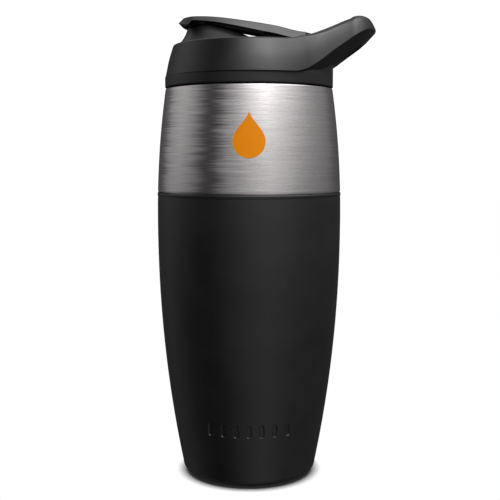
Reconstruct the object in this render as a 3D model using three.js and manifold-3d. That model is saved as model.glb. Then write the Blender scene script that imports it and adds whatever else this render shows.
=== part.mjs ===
// Insulated protein shaker bottle: a vacuum flask in a brushed steel shell with a black grip sleeve, and a
// screw lid with a carry band, a drinking spout, a hinged flip cap and a snap-in mixing grid.
// Millimetres, +Z up. The origin is the centre of the base, on the surface the bottle stands on.
// The emblem faces -Y, the spout is on the -X side and the carry loop on the +X side.
import * as THREE from 'three';
import { LoftGeometry } from 'three/addons/geometries/LoftGeometry.js';
import { mergeVertices } from 'three/addons/utils/BufferGeometryUtils.js';
import Module from 'manifold-3d';

// Bottle body
const BELLY_RADIUS = 45;
const BELLY_HEIGHT = 127.5;
const LOWER_TAPER = 12.75;
const LOWER_POWER = 2.09;
const UPPER_TAPER = 4.4;
const UPPER_POWER = 2.05;
const SHOULDER_HEIGHT = 189.8;
const BASE_RADIUS = 26.6;
const BASE_CORNER_HEIGHT = 5;
const SLEEVE_TOP = 140;
const SLEEVE_THICKNESS = 1.6;
const SLEEVE_FLOOR = 2.4;
const SLEEVE_LIP = 0.2;
const GAP = 0.3;
const SHELL_THICKNESS = 0.7;
const VACUUM_GAP = 2.8;
const FLASK_FLOOR = 8;
const NECK_RADIUS = 34.6;
const NECK_TOP = 200.3;
const MOUTH_RADIUS = 33;
const LIP_TOP = 201.2;

// Screw thread, two starts
const THREAD_LEAD = 12;
const THREAD_STARTS = 2;
const THREAD_SPAN = THREE.MathUtils.degToRad(140);
const THREAD_DEPTH = 1;
const THREAD_ROOT_WIDTH = 1.6;
const THREAD_CREST_WIDTH = 1;
const NECK_THREAD_START = 194.6;
const THREAD_SINK = 0.3;

// Lid
const LID_BOTTOM = 190.4;
const LID_RADIUS = 40.85;
const LID_BORE = 36.1;
const LID_CEILING = 203.2;
const DECK_UNDERSIDE = 205.8;
const DECK_TOP = 208.3;
const RECESS_RADIUS = 29.6;
const SPOUT_TOP = 220;
const CHANNEL_CENTRE = -22.4;
const CHANNEL_X = 5.2;
const CHANNEL_Y = 7.5;

// Carry band: its plan is a circle that runs out into a loop on +X
const BAND_CENTRE = 1.3;
const BAND_RADIUS = 41.9;
const BAND_LEAVES_AT = THREE.MathUtils.degToRad(52);
const LOOP_END = 61.4;
const LOOP_HALF_WIDTH = 26;
const LOOP_STRAIGHT = 47;
const RING_THICKNESS = 1.9;
const LOOP_THICKNESS = 5;
const RING_LEAN = 3.9;
const ARM_LEAN = 1.4;
const END_LEAN = 3;
const UNDERCUT = 5.5;
// Heights of the band's outer lower and upper edges along X
const BAND_LOWER_EDGE = [
  [20, 195.5], [26, 196.9], [32.6, 201], [39, 206], [45, 210.2], [50, 213.5], [55, 215.9], [LOOP_END, 216.8],
];
const BAND_UPPER_EDGE = [
  [18, 210.6], [29.6, 212.9], [38.8, 216.9], [44.8, 219.8], [50, 221.7], [54, 222.3], [58, 222.4], [LOOP_END, 222.2],
];

// Flip cap and its hinge
const PIVOT_X = 31;
const PIVOT_Z = 212.6;
const PIN_RADIUS = 1.2;
const PIN_BORE = 1.32;
const PIN_HALF_LENGTH = 11.2;
const BARREL_RADIUS = 2.9;
const BARREL_HALF_WIDTH = 7.5;
const EAR_RADIUS = 3;
const EAR_INNER = 7.9;
const EAR_OUTER = 11.5;
const CAP_HALF_WIDTH = 13;
const CAP_REAR_HALF_WIDTH = 11;
const CAP_REAR = 27.6;
const CAP_TIP = -34;
const CAP_UNDERSIDE = 220.5;
const RIB_HALF_WIDTH = 4;

// Mixing grid
const GRID_RADIUS = 29;
const GRID_RIM = 1.7;
const GRID_BOTTOM = 197.5;
const GRID_PLATE = 1.8;
const GRID_BAR = 1.8;
const GRID_PITCH = 9.5;
const CLIP_TOP = 205;
const CLIP_WIDTH = 9;

// Marks
const EMBLEM_CENTRE = 167;
const EMBLEM_HALF_HEIGHT = 10.4;
const EMBLEM_BULB = 7.4;
const EMBLEM_THICKNESS = 0.3;
const MARK_COUNT = 7;
const MARK_PITCH = 6;
const MARK_WIDTH = 2.4;
const MARK_HEIGHT = 6.6;
const MARK_CENTRE = 29.5;
const MARK_DEPTH = 0.6;

const SEGMENTS = 36;
const BAND_STEPS = 72;
const WELD = 1e-4;

const wasm = await Module();
wasm.setup();

// ---- solids ----

function signedVolume(positions, triangles) {
  const a = new THREE.Vector3();
  const b = new THREE.Vector3();
  const c = new THREE.Vector3();
  let volume = 0;
  for (let i = 0; i < triangles.length; i += 3) {
    a.fromArray(positions, 3 * triangles[i]);
    b.fromArray(positions, 3 * triangles[i + 1]);
    c.fromArray(positions, 3 * triangles[i + 2]);
    volume += a.dot(b.cross(c)) / 6;
  }
  return volume;
}

// Turns a closed three.js geometry into a solid whose faces point outwards.
function solid(geometry) {
  const bare = new THREE.BufferGeometry();
  bare.setAttribute('position', geometry.getAttribute('position'));
  bare.setIndex(geometry.getIndex());
  const merged = mergeVertices(bare, WELD);
  const positions = merged.getAttribute('position').array;
  const index = merged.getIndex().array;
  const triangles = [];
  for (let i = 0; i < index.length; i += 3) {
    const [a, b, c] = index.slice(i, i + 3);
    if (a !== b && b !== c && c !== a) triangles.push(a, b, c);
  }
  if (signedVolume(positions, triangles) < 0) triangles.reverse();
  const mesh = new wasm.Mesh({
    numProp: 3,
    vertProperties: new Float32Array(positions),
    triVerts: new Uint32Array(triangles),
  });
  return new wasm.Manifold(mesh);
}

function geometryOf(body) {
  const mesh = body.getMesh();
  const geometry = new THREE.BufferGeometry();
  geometry.setAttribute('position', new THREE.BufferAttribute(new Float32Array(mesh.vertProperties), 3));
  geometry.setIndex(new THREE.BufferAttribute(new Uint32Array(mesh.triVerts), 1));
  geometry.computeVertexNormals();
  return geometry;
}

function union(bodies) {
  return bodies.reduce((whole, body) => whole.add(body));
}

// Revolves [radius, height] points about Z. A profile that leaves the axis alone is closed on itself.
function revolve(profile) {
  const points = profile.map(([radius, height]) => new THREE.Vector2(radius, height));
  const onAxis = profile[0][0] === 0;
  if (!onAxis) points.push(points[0].clone());
  return solid(new THREE.LatheGeometry(points, SEGMENTS).rotateX(Math.PI / 2));
}

// Extrudes an outline drawn in X and Z along Y, centred on y = 0.
function sideways(shape, halfWidth, curveSegments = 8) {
  const settings = { depth: 2 * halfWidth, bevelEnabled: false, curveSegments };
  return solid(new THREE.ExtrudeGeometry(shape, settings).rotateX(Math.PI / 2).translate(0, halfWidth, 0));
}

// Extrudes an outline drawn in X and Y from one height to another.
function upright(shape, from, to, curveSegments = 12) {
  const settings = { depth: to - from, bevelEnabled: false, curveSegments };
  return solid(new THREE.ExtrudeGeometry(shape, settings).translate(0, 0, from));
}

// A round bar along Y through the cap's pivot.
function pivotBar(radius, halfWidth, sides = 24) {
  const bar = new THREE.CylinderGeometry(radius, radius, 2 * halfWidth, sides);
  return solid(bar.translate(PIVOT_X, 0, PIVOT_Z));
}

function box(x, y, z, width, depth, height) {
  return solid(new THREE.BoxGeometry(width, depth, height).translate(x, y, z));
}

function steps(from, to, count) {
  return Array.from({ length: count + 1 }, (_, i) => from + ((to - from) * i) / count);
}

// Smooth curve through [x, value] points, level outside them.
function valueAt(points, x) {
  const last = points.length - 1;
  if (x <= points[0][0]) return points[0][1];
  if (x >= points[last][0]) return points[last][1];
  const i = points.findIndex((point, k) => k < last && x < points[k + 1][0]);
  const slope = (k) => {
    if (k === 0 || k === last) return 0;
    return (points[k + 1][1] - points[k - 1][1]) / (points[k + 1][0] - points[k - 1][0]);
  };
  const [x0, y0] = points[i];
  const [x1, y1] = points[i + 1];
  const width = x1 - x0;
  const t = (x - x0) / width;
  const blend = t * t * (3 - 2 * t);
  const start = slope(i) * width * t * (1 - t) * (1 - t);
  const end = slope(i + 1) * width * t * t * (1 - t);
  return y0 + (y1 - y0) * blend + start - end;
}

// ---- bottle ----

// Outer radius of the whole body at a height, without the rounded base corner.
function bodyRadius(height) {
  if (height < BELLY_HEIGHT) {
    return BELLY_RADIUS - LOWER_TAPER * ((BELLY_HEIGHT - height) / BELLY_HEIGHT) ** LOWER_POWER;
  }
  const up = (height - BELLY_HEIGHT) / (SHOULDER_HEIGHT - BELLY_HEIGHT);
  return BELLY_RADIUS - UPPER_TAPER * up ** UPPER_POWER;
}

// Quarter ellipse from a flat floor at (inner, low) up to a wall at (outer, high).
function corner(inner, low, outer, high, count) {
  return steps(0, Math.PI / 2, count).map((angle) => [
    inner + (outer - inner) * Math.sin(angle),
    high - (high - low) * Math.cos(angle),
  ]);
}

function wall(radiusAt, from, to, count) {
  return steps(from, to, count).map((height) => [radiusAt(height), height]);
}

function gripSleeve() {
  const cornerRadius = bodyRadius(BASE_CORNER_HEIGHT);
  const inside = (height) => bodyRadius(height) - SLEEVE_THICKNESS;
  const outer = [
    [0, 0], [12, 0], [12.6, 0.8], [19.4, 0.8], [20, 0],
    ...corner(BASE_RADIUS, 0, cornerRadius, BASE_CORNER_HEIGHT, 4),
    ...wall(bodyRadius, 26, SLEEVE_TOP - 1, 5),
    [bodyRadius(SLEEVE_TOP) + SLEEVE_LIP, SLEEVE_TOP - 0.6],
    [bodyRadius(SLEEVE_TOP) - 0.3, SLEEVE_TOP],
  ];
  const inner = [
    [inside(SLEEVE_TOP), SLEEVE_TOP],
    ...wall(inside, 7.4, SLEEVE_TOP - 1, 5).reverse(),
    ...corner(BASE_RADIUS - 1.2, SLEEVE_FLOOR, inside(7.4), 7.4, 3).reverse().slice(1),
    [0, SLEEVE_FLOOR],
  ];
  return revolve([...outer, ...inner]).subtract(sleeveMarks());
}

// A row of plain upright capsules pressed into the front of the sleeve, near its foot.
function sleeveMarks() {
  const radius = MARK_WIDTH / 2;
  const reach = MARK_HEIGHT / 2 - radius;
  const capsules = steps(-(MARK_COUNT - 1) / 2, (MARK_COUNT - 1) / 2, MARK_COUNT - 1).map((place) => {
    const x = place * MARK_PITCH;
    const shape = new THREE.Shape();
    shape.absarc(x, MARK_CENTRE + reach, radius, 0, Math.PI);
    shape.absarc(x, MARK_CENTRE - reach, radius, Math.PI, 2 * Math.PI);
    return sideways(shape, 10, 5).translate([0, -BELLY_RADIUS + 10, 0]);
  });
  const kept = (height) => bodyRadius(height) - MARK_DEPTH;
  const low = MARK_CENTRE - MARK_HEIGHT;
  const high = MARK_CENTRE + MARK_HEIGHT;
  const core = revolve([[0, low], ...wall(kept, low, high, 3), [0, high]]);
  return union(capsules).subtract(core);
}

// Outside of the steel shell where the sleeve covers it.
function sunkRadius(height) {
  return bodyRadius(height) - SLEEVE_THICKNESS - GAP;
}

function outerShell() {
  const low = SLEEVE_FLOOR + GAP;
  const step = SLEEVE_TOP + GAP;
  const footRadius = BASE_RADIUS - 2;
  const footTop = 8.4;
  const t = SHELL_THICKNESS;
  const outer = [
    ...corner(footRadius, low, sunkRadius(footTop), footTop, 3),
    ...wall(sunkRadius, 30, step, 4),
    [bodyRadius(step) - 0.3, step],
    ...wall(bodyRadius, step + 0.3, SHOULDER_HEIGHT - 0.8, 4),
    [bodyRadius(SHOULDER_HEIGHT) - 0.7, SHOULDER_HEIGHT],
    [NECK_RADIUS + 0.8, SHOULDER_HEIGHT],
    [NECK_RADIUS, SHOULDER_HEIGHT + 0.7],
    [NECK_RADIUS, NECK_TOP],
  ];
  const inner = [
    [NECK_RADIUS - 0.6, NECK_TOP],
    [NECK_RADIUS - 0.6, SHOULDER_HEIGHT],
    [NECK_RADIUS + 0.4, SHOULDER_HEIGHT - t],
    ...wall((height) => bodyRadius(height) - t, step + t, SHOULDER_HEIGHT - 2, 2).reverse(),
    ...wall((height) => sunkRadius(height) - t, footTop + 0.2, step + t, 4).reverse(),
    ...corner(footRadius, low + t, sunkRadius(footTop) - t, footTop, 3).reverse().slice(1),
  ];
  const threads = screwRidges(NECK_RADIUS - THREAD_SINK, NECK_RADIUS + THREAD_DEPTH, NECK_THREAD_START);
  return revolve([...outer, ...inner]).add(threads);
}

// Raised helical ridges between two radii. Their middle line starts at the given height.
function screwRidges(rootRadius, crestRadius, startHeight) {
  const turns = steps(0, THREAD_SPAN, 8);
  const ridges = Array.from({ length: THREAD_STARTS }, (_, start) => {
    const first = (start * 2 * Math.PI) / THREAD_STARTS;
    const sections = turns.map((turn) => {
      const height = startHeight + (THREAD_LEAD * turn) / (2 * Math.PI);
      const corners = [
        [rootRadius, THREAD_ROOT_WIDTH / 2], [crestRadius, THREAD_CREST_WIDTH / 2],
        [crestRadius, -THREAD_CREST_WIDTH / 2], [rootRadius, -THREAD_ROOT_WIDTH / 2],
      ];
      if (crestRadius < rootRadius) corners.reverse();
      return corners.map(([radius, rise]) => {
        const angle = first + turn;
        return new THREE.Vector3(radius * Math.cos(angle), radius * Math.sin(angle), height + rise);
      });
    });
    return solid(new LoftGeometry(sections, { capStart: true, capEnd: true }));
  });
  return union(ridges);
}

// Outside of the inner flask between its floor and its shoulder.
function flaskRadius(height) {
  return bodyRadius(height) - SLEEVE_THICKNESS - GAP - SHELL_THICKNESS - VACUUM_GAP;
}

function innerFlask() {
  const t = SHELL_THICKNESS;
  const floorRadius = 20;
  const wallFoot = 17;
  const wallHead = 174;
  const neck = MOUTH_RADIUS + t;
  const outer = [
    [0, FLASK_FLOOR],
    ...corner(floorRadius, FLASK_FLOOR, flaskRadius(wallFoot), wallFoot, 3),
    ...wall(flaskRadius, 40, wallHead, 4),
    [36.2, 180], [34.4, 184.6], [neck, 188.4], [neck, NECK_TOP + GAP],
    [NECK_RADIUS, NECK_TOP + GAP], [NECK_RADIUS, LIP_TOP - 0.2], [NECK_RADIUS - 0.2, LIP_TOP],
  ];
  const inner = [
    [MOUTH_RADIUS + 0.3, LIP_TOP], [MOUTH_RADIUS, LIP_TOP - 0.3], [MOUTH_RADIUS, 188.2],
    [34.4 - t, 184.3], [36.2 - t, 179.7],
    ...wall((height) => flaskRadius(height) - t, wallFoot, wallHead, 5).reverse(),
    ...corner(floorRadius, FLASK_FLOOR + t, flaskRadius(wallFoot) - t, wallFoot, 3).reverse().slice(1),
    [0, FLASK_FLOOR + t],
  ];
  return revolve([...outer, ...inner]);
}

function baseDisc() {
  const low = SLEEVE_FLOOR + GAP;
  const edge = BASE_RADIUS - 2 - GAP;
  return revolve([[2.6, low + 0.6], [6, low + 0.6], [7, low], [edge, low], [edge, low + 0.7],
    [7.2, low + 0.7], [6.2, low + 1.3], [2.6, low + 1.3]]);
}

function vacuumSeal() {
  const low = SLEEVE_FLOOR + 2 * GAP;
  return revolve([[0, low], [2.2, low], [2.2, low + 0.9], [1.6, low + 1.4], [0, low + 1.4]]);
}

function getter() {
  const low = FLASK_FLOOR - 2;
  return revolve([[0, low], [3.6, low], [4, low + 0.4], [4, FLASK_FLOOR - GAP], [0, FLASK_FLOOR - GAP]]);
}

// A plain water drop that follows the curve of the steel front.
function emblem() {
  const low = EMBLEM_CENTRE - 12;
  const high = EMBLEM_CENTRE + 12;
  const skin = (lift) => (height) => bodyRadius(height) + lift;
  const face = wall(skin(GAP + EMBLEM_THICKNESS), low, high, 4);
  const back = wall(skin(GAP), low, high, 4).reverse();
  const shape = new THREE.Shape();
  const bulb = EMBLEM_CENTRE - EMBLEM_HALF_HEIGHT + EMBLEM_BULB;
  const tip = EMBLEM_CENTRE + EMBLEM_HALF_HEIGHT;
  shape.moveTo(0, tip);
  shape.bezierCurveTo(-1.6, tip - 5, -EMBLEM_BULB, bulb + 5.4, -EMBLEM_BULB, bulb);
  shape.absarc(0, bulb, EMBLEM_BULB, Math.PI, 2 * Math.PI);
  shape.bezierCurveTo(EMBLEM_BULB, bulb + 5.4, 1.6, tip - 5, 0, tip);
  const column = sideways(shape, BELLY_RADIUS / 2).translate([0, -BELLY_RADIUS / 2 - 5, 0]);
  return revolve([...face, ...back]).intersect(column);
}

// ---- lid ----

function bandPlan() {
  const leave = new THREE.Vector2(
    BAND_CENTRE + BAND_RADIUS * Math.cos(BAND_LEAVES_AT),
    BAND_RADIUS * Math.sin(BAND_LEAVES_AT),
  );
  const along = new THREE.Vector2(Math.sin(BAND_LEAVES_AT), -Math.cos(BAND_LEAVES_AT)).multiplyScalar(7);
  const half = LOOP_HALF_WIDTH;
  const path = new THREE.Path();
  path.moveTo(LOOP_END, 0);
  path.bezierCurveTo(LOOP_END, 13, LOOP_END - 3, half - 0.6, LOOP_STRAIGHT, half);
  path.bezierCurveTo(LOOP_STRAIGHT - 7, half + 0.5, leave.x + along.x, leave.y + along.y, leave.x, leave.y);
  path.absarc(BAND_CENTRE, 0, BAND_RADIUS, BAND_LEAVES_AT, 2 * Math.PI - BAND_LEAVES_AT, false);
  path.bezierCurveTo(leave.x + along.x, -leave.y - along.y, LOOP_STRAIGHT - 7, -half - 0.5, LOOP_STRAIGHT, -half);
  path.bezierCurveTo(LOOP_END - 3, -half + 0.6, LOOP_END, -13, LOOP_END, 0);
  return path.getSpacedPoints(BAND_STEPS).slice(0, BAND_STEPS);
}

// Section of the band at one plan point, as [inset, height] corners, grown on every side.
function bandSection(x, grow) {
  const arm = THREE.MathUtils.smoothstep(x, 22, 40);
  const end = THREE.MathUtils.smoothstep(x, 50, LOOP_END);
  const low = valueAt(BAND_LOWER_EDGE, x) - grow;
  const high = valueAt(BAND_UPPER_EDGE, x) + grow;
  const rise = high - low;
  const armLean = THREE.MathUtils.lerp(ARM_LEAN, END_LEAN, end);
  const lean = THREE.MathUtils.lerp(RING_LEAN, armLean, arm);
  const thickness = THREE.MathUtils.lerp(RING_THICKNESS, LOOP_THICKNESS, arm);
  const front = -grow;
  const back = thickness + grow;
  return [
    [front + 0.3 + end, low], [front, low + 0.6 + end], [front + 0.44 * lean, low + 0.55 * rise],
    [front + lean, high - 1.6], [front + lean + 0.5, high - 0.5], [front + lean + 1.1, high],
    [back + lean - 0.4, high - 0.1], [back + lean, high - 0.8],
    [back + 0.44 * lean, low + 0.5 * rise], [back, low - UNDERCUT * arm],
  ];
}

function bandBody(grow = 0) {
  const plan = bandPlan();
  const count = plan.length;
  const sections = plan.map((point, i) => {
    const tangent = plan[(i + 1) % count].clone().sub(plan[(i + count - 1) % count]).normalize();
    return bandSection(point.x, grow).map(([inset, height]) => new THREE.Vector3(
      point.x - tangent.y * inset,
      point.y + tangent.x * inset,
      height,
    ));
  });
  return solid(new LoftGeometry([...sections, sections[0]]));
}

function ovalSection(centre, halfX, halfY, height) {
  const corners = 24;
  return Array.from({ length: corners }, (_, i) => {
    const angle = (2 * Math.PI * i) / corners;
    return new THREE.Vector3(centre + halfX * Math.cos(angle), halfY * Math.sin(angle), height);
  });
}

// The spout flares from the deck up to its oval mouth: front and rear in X, half width, height.
function spout() {
  const levels = [
    [-34.4, 10, 22, 207.5], [-34.2, 7.5, 20, 209.5], [-33.2, 3.8, 17.5, 212], [-31.4, -0.5, 15, 214.7],
    [-30.3, -5.2, 12.8, 217], [-29.7, -9.6, 10.8, 219], [-29, -13.6, 9.4, SPOUT_TOP],
  ];
  const sections = levels.map(([front, rear, half, height]) => {
    return ovalSection((front + rear) / 2, (rear - front) / 2, half, height);
  });
  return solid(new LoftGeometry(sections, { capStart: true, capEnd: true }));
}

function spoutChannel() {
  const low = DECK_UNDERSIDE - 1;
  const high = SPOUT_TOP + 1;
  const sections = [low, high].map((height) => ovalSection(CHANNEL_CENTRE, CHANNEL_X, CHANNEL_Y, height));
  return solid(new LoftGeometry(sections, { capStart: true, capEnd: true }));
}

// Two ears stand on the deck and carry the hinge pin.
function hingeEars() {
  const shape = new THREE.Shape();
  shape.moveTo(PIVOT_X - EAR_RADIUS, DECK_UNDERSIDE);
  shape.lineTo(PIVOT_X - EAR_RADIUS, PIVOT_Z);
  shape.absarc(PIVOT_X, PIVOT_Z, EAR_RADIUS, Math.PI, 0, true);
  shape.lineTo(PIVOT_X + EAR_RADIUS, DECK_UNDERSIDE);
  const middle = (EAR_INNER + EAR_OUTER) / 2;
  const ears = [-middle, middle].map((y) => {
    return sideways(shape, (EAR_OUTER - EAR_INNER) / 2).translate([0, y, 0]);
  });
  return union(ears);
}

// Behind the band's ring, between the loop's arms, the lid's wall rises at full width.
function backWall() {
  const wallTop = [[36.6, 207.6], [38.9, 205.2], [40.3, 202.6], [LID_RADIUS, 200.8]];
  const ring = revolve([[34, DECK_TOP], ...wallTop, [LID_RADIUS, 194], [38, 194], [38, 204], [34, 204]]);
  return ring.intersect(box(LID_RADIUS, 0, 200, 2 * (LID_RADIUS - 24), 2 * LID_RADIUS, 20));
}

function lidShell() {
  const profile = [
    [0, DECK_TOP], [35.2, DECK_TOP], [35.8, 207.7], [37.6, 203.8], [39.4, 195.2], [LID_RADIUS, 195.2],
    [LID_RADIUS, LID_BOTTOM + 0.4], [LID_RADIUS - 0.4, LID_BOTTOM],
    [LID_BORE + 0.5, LID_BOTTOM], [LID_BORE, LID_BOTTOM + 0.5], [LID_BORE, LID_CEILING],
    [RECESS_RADIUS, LID_CEILING], [RECESS_RADIUS, DECK_UNDERSIDE], [0, DECK_UNDERSIDE],
  ];
  const threadStart = NECK_THREAD_START - THREAD_LEAD / THREAD_STARTS / 2;
  const threads = screwRidges(LID_BORE + THREAD_SINK, LID_BORE - THREAD_DEPTH, threadStart);
  return revolve(profile)
    .add(backWall())
    .add(spout())
    .add(hingeEars())
    .add(threads)
    .subtract(bandBody(GAP))
    .subtract(spoutChannel())
    .subtract(pivotBar(PIN_BORE, EAR_OUTER + 1));
}

function lidGasket() {
  const low = LIP_TOP + GAP;
  const high = LID_CEILING - GAP;
  return revolve([[33.3, low], [35.4, low], [35.6, low + 0.3], [35.6, high], [33.1, high], [33.1, low + 0.2]]);
}

// ---- flip cap ----

// Outline seen from above: a rounded beak at -X that narrows towards the hinge.
function capPlan() {
  const shoulder = -22;
  const shape = new THREE.Shape();
  shape.moveTo(CAP_TIP, 0);
  shape.bezierCurveTo(CAP_TIP, -7.5, shoulder - 6, -CAP_HALF_WIDTH, shoulder, -CAP_HALF_WIDTH);
  shape.lineTo(CAP_REAR, -CAP_REAR_HALF_WIDTH);
  shape.lineTo(CAP_REAR, CAP_REAR_HALF_WIDTH);
  shape.lineTo(shoulder, CAP_HALF_WIDTH);
  shape.bezierCurveTo(shoulder - 6, CAP_HALF_WIDTH, CAP_TIP, 7.5, CAP_TIP, 0);
  return upright(shape, 205, 230, 8);
}

// Outline seen from the side: a thin crowned arm with a beak that laps over the front of the spout.
function capSide() {
  const shape = new THREE.Shape();
  shape.moveTo(CAP_TIP, 221.6);
  shape.lineTo(-32.4, 223.5);
  shape.splineThru([[-26, 224.4], [-16, 224.2], [-1.6, 222.5], [12.4, 220.2], [CAP_REAR, 217]]
    .map(([x, z]) => new THREE.Vector2(x, z)));
  shape.lineTo(CAP_REAR, 212.4);
  shape.lineTo(21.4, 213);
  shape.lineTo(5.9, 216.5);
  shape.lineTo(-14, CAP_UNDERSIDE);
  shape.lineTo(-29.4, CAP_UNDERSIDE);
  shape.lineTo(-30.2, 219.4);
  return sideways(shape, CAP_HALF_WIDTH + 1, 3);
}

// The part of the arm that runs back between the ears and turns on the pin.
function capKnuckle() {
  const neck = new THREE.Shape();
  neck.moveTo(CAP_REAR - 2, 217.4);
  neck.lineTo(CAP_REAR, 217);
  neck.lineTo(PIVOT_X + 0.6, PIVOT_Z + BARREL_RADIUS - 0.1);
  neck.lineTo(PIVOT_X, PIVOT_Z - BARREL_RADIUS);
  neck.lineTo(CAP_REAR - 2, 210.6);
  return sideways(neck, BARREL_HALF_WIDTH).add(pivotBar(BARREL_RADIUS, BARREL_HALF_WIDTH));
}

function capRib() {
  const rib = new THREE.Shape();
  rib.moveTo(7, 217);
  rib.lineTo(11, 213.4);
  rib.lineTo(CAP_REAR, 210.6);
  rib.lineTo(CAP_REAR, 214);
  rib.lineTo(18, 216);
  return sideways(rib, RIB_HALF_WIDTH);
}

function flipCap() {
  return capSide()
    .intersect(capPlan())
    .add(capKnuckle())
    .add(capRib())
    .subtract(pivotBar(PIN_BORE, EAR_OUTER));
}

// Soft stopper under the cap. It tapers so that it swings clear of the spout's mouth.
function spoutPlug() {
  const gap = 0.5;
  const taper = 0.6;
  const sections = [
    ovalSection(CHANNEL_CENTRE, CHANNEL_X - gap - taper, CHANNEL_Y - gap - taper, SPOUT_TOP - 2.6),
    ovalSection(CHANNEL_CENTRE, CHANNEL_X - gap, CHANNEL_Y - gap, SPOUT_TOP - 1.2),
    ovalSection(CHANNEL_CENTRE, CHANNEL_X - gap, CHANNEL_Y - gap, CAP_UNDERSIDE - GAP),
  ];
  return solid(new LoftGeometry(sections, { capStart: true, capEnd: true }));
}

// ---- mixing grid ----

// A flat grid with a low rim. Four upright clips on its diagonals snap into the recess under the deck.
function mixingGrid() {
  const inner = GRID_RADIUS - GRID_RIM;
  const plateTop = GRID_BOTTOM + GRID_PLATE;
  const rim = revolve([
    [inner, GRID_BOTTOM], [GRID_RADIUS, GRID_BOTTOM], [GRID_RADIUS, plateTop], [inner, plateTop],
  ]);
  const disc = revolve([[0, GRID_BOTTOM], [inner + 1, GRID_BOTTOM], [inner + 1, plateTop], [0, plateTop]]);
  const middle = GRID_BOTTOM + GRID_PLATE / 2;
  const bars = steps(-2, 2, 4).flatMap((place) => [
    box(place * GRID_PITCH, 0, middle, GRID_BAR, 2 * GRID_RADIUS, GRID_PLATE),
    box(0, place * GRID_PITCH, middle, 2 * GRID_RADIUS, GRID_BAR, GRID_PLATE),
  ]);
  return rim.add(union(bars).intersect(disc)).add(gridClips());
}

function gridClips() {
  const inner = GRID_RADIUS - GRID_RIM;
  const wall = revolve([
    [inner, GRID_BOTTOM], [GRID_RADIUS, GRID_BOTTOM], [GRID_RADIUS, CLIP_TOP], [inner, CLIP_TOP],
  ]);
  const height = CLIP_TOP - GRID_BOTTOM;
  const crossbar = box(0, 0, GRID_BOTTOM + height / 2, 3 * GRID_RADIUS, CLIP_WIDTH, height);
  return wall.intersect(crossbar.rotate([0, 0, 45]).add(crossbar.rotate([0, 0, -45])));
}

// ---- assembly ----

const STEEL = { color: 0xb4b0b0, roughness: 0.32, metalness: 1 };
const INNER_STEEL = { color: 0xa9a9ab, roughness: 0.4, metalness: 1 };
const SILICONE = { color: 0x1b1b1e, roughness: 0.62, metalness: 0 };
const BLACK_PLASTIC = { color: 0x26262a, roughness: 0.42, metalness: 0 };
const SEAL_RUBBER = { color: 0x3a3a3d, roughness: 0.7, metalness: 0 };
const GREY_PLASTIC = { color: 0x55565a, roughness: 0.5, metalness: 0 };
const ORANGE_PRINT = { color: 0xd78302, roughness: 0.45, metalness: 0 };

function piece(name, body, look) {
  const mesh = new THREE.Mesh(geometryOf(body), new THREE.MeshStandardMaterial(look));
  mesh.name = name;
  return mesh;
}

function bottle() {
  const group = new THREE.Group();
  group.add(piece('outer_shell', outerShell(), STEEL));
  group.add(piece('inner_flask', innerFlask(), INNER_STEEL));
  group.add(piece('base_disc', baseDisc(), INNER_STEEL));
  group.add(piece('vacuum_seal', vacuumSeal(), INNER_STEEL));
  group.add(piece('getter', getter(), INNER_STEEL));
  group.add(piece('grip_sleeve', gripSleeve(), SILICONE));
  group.add(piece('emblem', emblem(), ORANGE_PRINT));
  return group;
}

function lid() {
  const group = new THREE.Group();
  group.add(piece('lid_shell', lidShell(), BLACK_PLASTIC));
  group.add(piece('carry_band', bandBody(), BLACK_PLASTIC));
  group.add(piece('hinge_pin', pivotBar(PIN_RADIUS, PIN_HALF_LENGTH), INNER_STEEL));
  group.add(piece('lid_gasket', lidGasket(), SEAL_RUBBER));
  group.add(piece('mixing_grid', mixingGrid(), GREY_PLASTIC));
  return group;
}

function cap() {
  const group = new THREE.Group();
  group.add(piece('flip_cap', flipCap(), BLACK_PLASTIC));
  group.add(piece('spout_plug', spoutPlug(), SEAL_RUBBER));
  return group;
}

const shaker = new THREE.Group();
shaker.add(bottle(), lid(), cap());

export default shaker;
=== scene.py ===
"""Looks of the insulated protein shaker bottle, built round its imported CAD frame.

Sizes are in millimetres and become metres when a mesh is made. The emblem faces -Y, the spout is on
the -X side and the carry loop on the +X side.
"""

import math

import bmesh
import bpy
from mathutils import Matrix, Vector


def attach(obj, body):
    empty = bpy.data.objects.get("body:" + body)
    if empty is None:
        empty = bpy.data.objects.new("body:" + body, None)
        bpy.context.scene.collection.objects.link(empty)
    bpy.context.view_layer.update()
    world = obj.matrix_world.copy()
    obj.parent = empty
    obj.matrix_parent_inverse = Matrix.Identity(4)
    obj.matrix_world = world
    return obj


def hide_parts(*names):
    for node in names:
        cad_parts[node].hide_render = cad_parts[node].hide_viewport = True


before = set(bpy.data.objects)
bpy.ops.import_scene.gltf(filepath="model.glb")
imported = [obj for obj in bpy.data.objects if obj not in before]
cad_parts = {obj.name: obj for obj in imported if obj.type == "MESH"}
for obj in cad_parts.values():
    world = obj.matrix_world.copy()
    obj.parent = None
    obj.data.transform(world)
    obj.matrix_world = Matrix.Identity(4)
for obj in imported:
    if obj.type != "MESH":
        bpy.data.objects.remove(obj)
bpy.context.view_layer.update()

MM = 0.001

# Bottle body
BELLY_RADIUS = 45.0
BELLY_HEIGHT = 127.5
LOWER_TAPER = 12.75
LOWER_POWER = 2.09
UPPER_TAPER = 4.4
UPPER_POWER = 2.05
SHOULDER_HEIGHT = 189.8
BASE_RADIUS = 26.6
BASE_CORNER_HEIGHT = 5.0
SLEEVE_TOP = 140.0
SLEEVE_THICKNESS = 1.6
SLEEVE_FLOOR = 2.4
SLEEVE_LIP = 0.2
GAP = 0.3
SHELL_THICKNESS = 0.7
VACUUM_GAP = 2.8
FLASK_FLOOR = 8.0
NECK_RADIUS = 34.6
NECK_TOP = 200.3
MOUTH_RADIUS = 33.0
LIP_TOP = 201.2

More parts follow.
